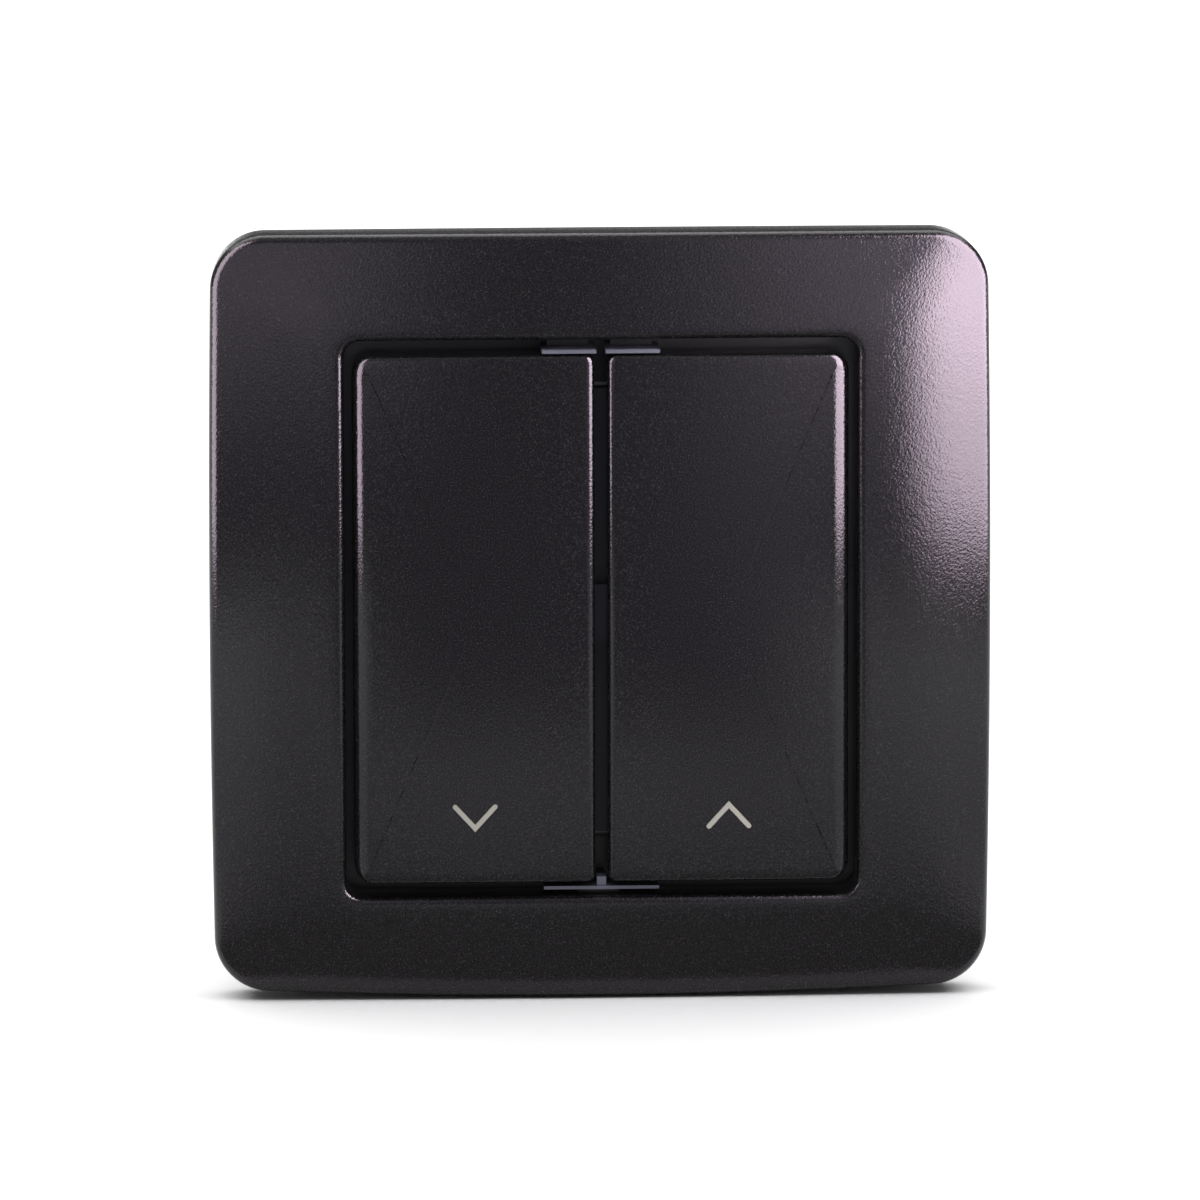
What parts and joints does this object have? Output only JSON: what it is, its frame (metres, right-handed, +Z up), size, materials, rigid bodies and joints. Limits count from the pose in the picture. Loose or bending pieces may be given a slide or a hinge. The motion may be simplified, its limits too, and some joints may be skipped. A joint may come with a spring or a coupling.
{
  "type": "rocker wall switch",
  "caption": "Square wall switch with side-by-side tall rocker keys marked with down and up chevrons, in a dark metallic cover frame, on a strap-mounted mechanism for a round wall box.",
  "frame": {"origin": "middle of the support strap's back face, on the wall plane, at the middle of its box screw slots", "axes": "+X to the right as seen from the room, +Z up, -Y out of the wall towards the room, +Y into the wall box"},
  "size_m": [0.084, 0.0322, 0.083],
  "materials": {
    "anthracite_paint": "dark metallic lacquer on plastic with a fine grain and a faint lilac sheen",
    "anthracite_key_paint": "the same dark metallic lacquer, with pale engraved chevrons",
    "blue_grey_plastic": "moulded, satin",
    "ivory_plastic": "moulded, satin",
    "black_plastic": "moulded thermoset, satin",
    "spring_steel": "drawn wire",
    "rivet_steel": "zinc plated",
    "zinc_steel": "stamped, zinc plated",
    "clamp_steel": "zinc plated",
    "screw_steel": "yellow-passivated zinc",
    "copper_alloy": "bronze strip",
    "brass": "stamped strip",
    "silver": "contact silver"
  },
  "bodies": {
    "base": {"cover_frame": "anthracite_paint", "carrier_ring": "blue_grey_plastic", "mechanism_cover": "blue_grey_plastic", "cover_rivets": "rivet_steel", "support_strap": "zinc_steel", "housing": "black_plastic", "common_contact": "brass", "left_fixed_contact": "brass", "right_fixed_contact": "brass", "fixed_rivets": "silver", "terminal_clamps": "clamp_steel", "terminal_screws": "screw_steel", "left_return_spring": "spring_steel", "right_return_spring": "spring_steel"},
    "left_rocker": {"left_key": "anthracite_key_paint", "left_cradle": "ivory_plastic", "left_plunger_spring": "spring_steel"},
    "left_plunger": {"left_plunger": "ivory_plastic"},
    "left_bridge": {"left_contact_bridge": "copper_alloy", "left_moving_rivet": "silver"},
    "left_claw": {"left_claw": "zinc_steel"},
    "left_claw_screw": {"left_claw_screw": "screw_steel"},
    "right_rocker": {"right_key": "anthracite_key_paint", "right_cradle": "ivory_plastic", "right_plunger_spring": "spring_steel"},
    "right_plunger": {"right_plunger": "ivory_plastic"},
    "right_bridge": {"right_contact_bridge": "copper_alloy", "right_moving_rivet": "silver"},
    "right_claw": {"right_claw": "zinc_steel"},
    "right_claw_screw": {"right_claw_screw": "screw_steel"}
  },
  "joints": [
    {"name": "left_rocker_tilt", "type": "hinge", "parent": "base", "child": "left_rocker", "pos_m": [-0.01365, -0.0026, 0], "axis": [1, 0, 0], "range_deg": [0, 4], "stiffness_Nm_per_rad": 0.4, "springref_deg": -5.73, "deforming": ["left_return_spring"]},
    {"name": "left_plunger_slide", "type": "slide", "parent": "left_rocker", "child": "left_plunger", "axis": [0, -1, 0], "range_m": [0, 0.0005], "stiffness_N_per_m": 150, "springref_m": -0.003, "deforming": ["left_plunger_spring"]},
    {"name": "left_bridge_tilt", "type": "hinge", "parent": "base", "child": "left_bridge", "pos_m": [-0.00945, 0.011, 0], "axis": [1, 0, 0], "range_deg": [-12, 0]},
    {"name": "left_claw_screw_turn", "type": "hinge", "parent": "base", "child": "left_claw_screw", "pos_m": [-0.026, 0, 0], "axis": [0, 1, 0], "range_deg": [0, 1440]},
    {"name": "left_claw_swing", "type": "hinge", "parent": "base", "child": "left_claw", "pos_m": [-0.023, 0.0034, 0], "axis": [0, 0, 1], "range_deg": [0, 20]},
    {"name": "right_rocker_tilt", "type": "hinge", "parent": "base", "child": "right_rocker", "pos_m": [0.01365, -0.0026, 0], "axis": [1, 0, 0], "range_deg": [0, 4], "stiffness_Nm_per_rad": 0.4, "springref_deg": -5.73, "deforming": ["right_return_spring"]},
    {"name": "right_plunger_slide", "type": "slide", "parent": "right_rocker", "child": "right_plunger", "axis": [0, -1, 0], "range_m": [0, 0.0005], "stiffness_N_per_m": 150, "springref_m": -0.003, "deforming": ["right_plunger_spring"]},
    {"name": "right_bridge_tilt", "type": "hinge", "parent": "base", "child": "right_bridge", "pos_m": [0.00945, 0.011, 0], "axis": [1, 0, 0], "range_deg": [-12, 0]},
    {"name": "right_claw_screw_turn", "type": "hinge", "parent": "base", "child": "right_claw_screw", "pos_m": [0.026, 0, 0], "axis": [0, 1, 0], "range_deg": [0, 1440]},
    {"name": "right_claw_swing", "type": "hinge", "parent": "base", "child": "right_claw", "pos_m": [0.023, 0.0034, 0], "axis": [0, 0, -1], "range_deg": [0, 20]}
  ],
  "couplings": [
    {"joint": "left_bridge_tilt", "follows": "left_rocker_tilt", "ratio": -3},
    {"joint": "left_claw_swing", "follows": "left_claw_screw_turn", "ratio": 0.013889},
    {"joint": "right_bridge_tilt", "follows": "right_rocker_tilt", "ratio": -3},
    {"joint": "right_claw_swing", "follows": "right_claw_screw_turn", "ratio": 0.013889}
  ]
}
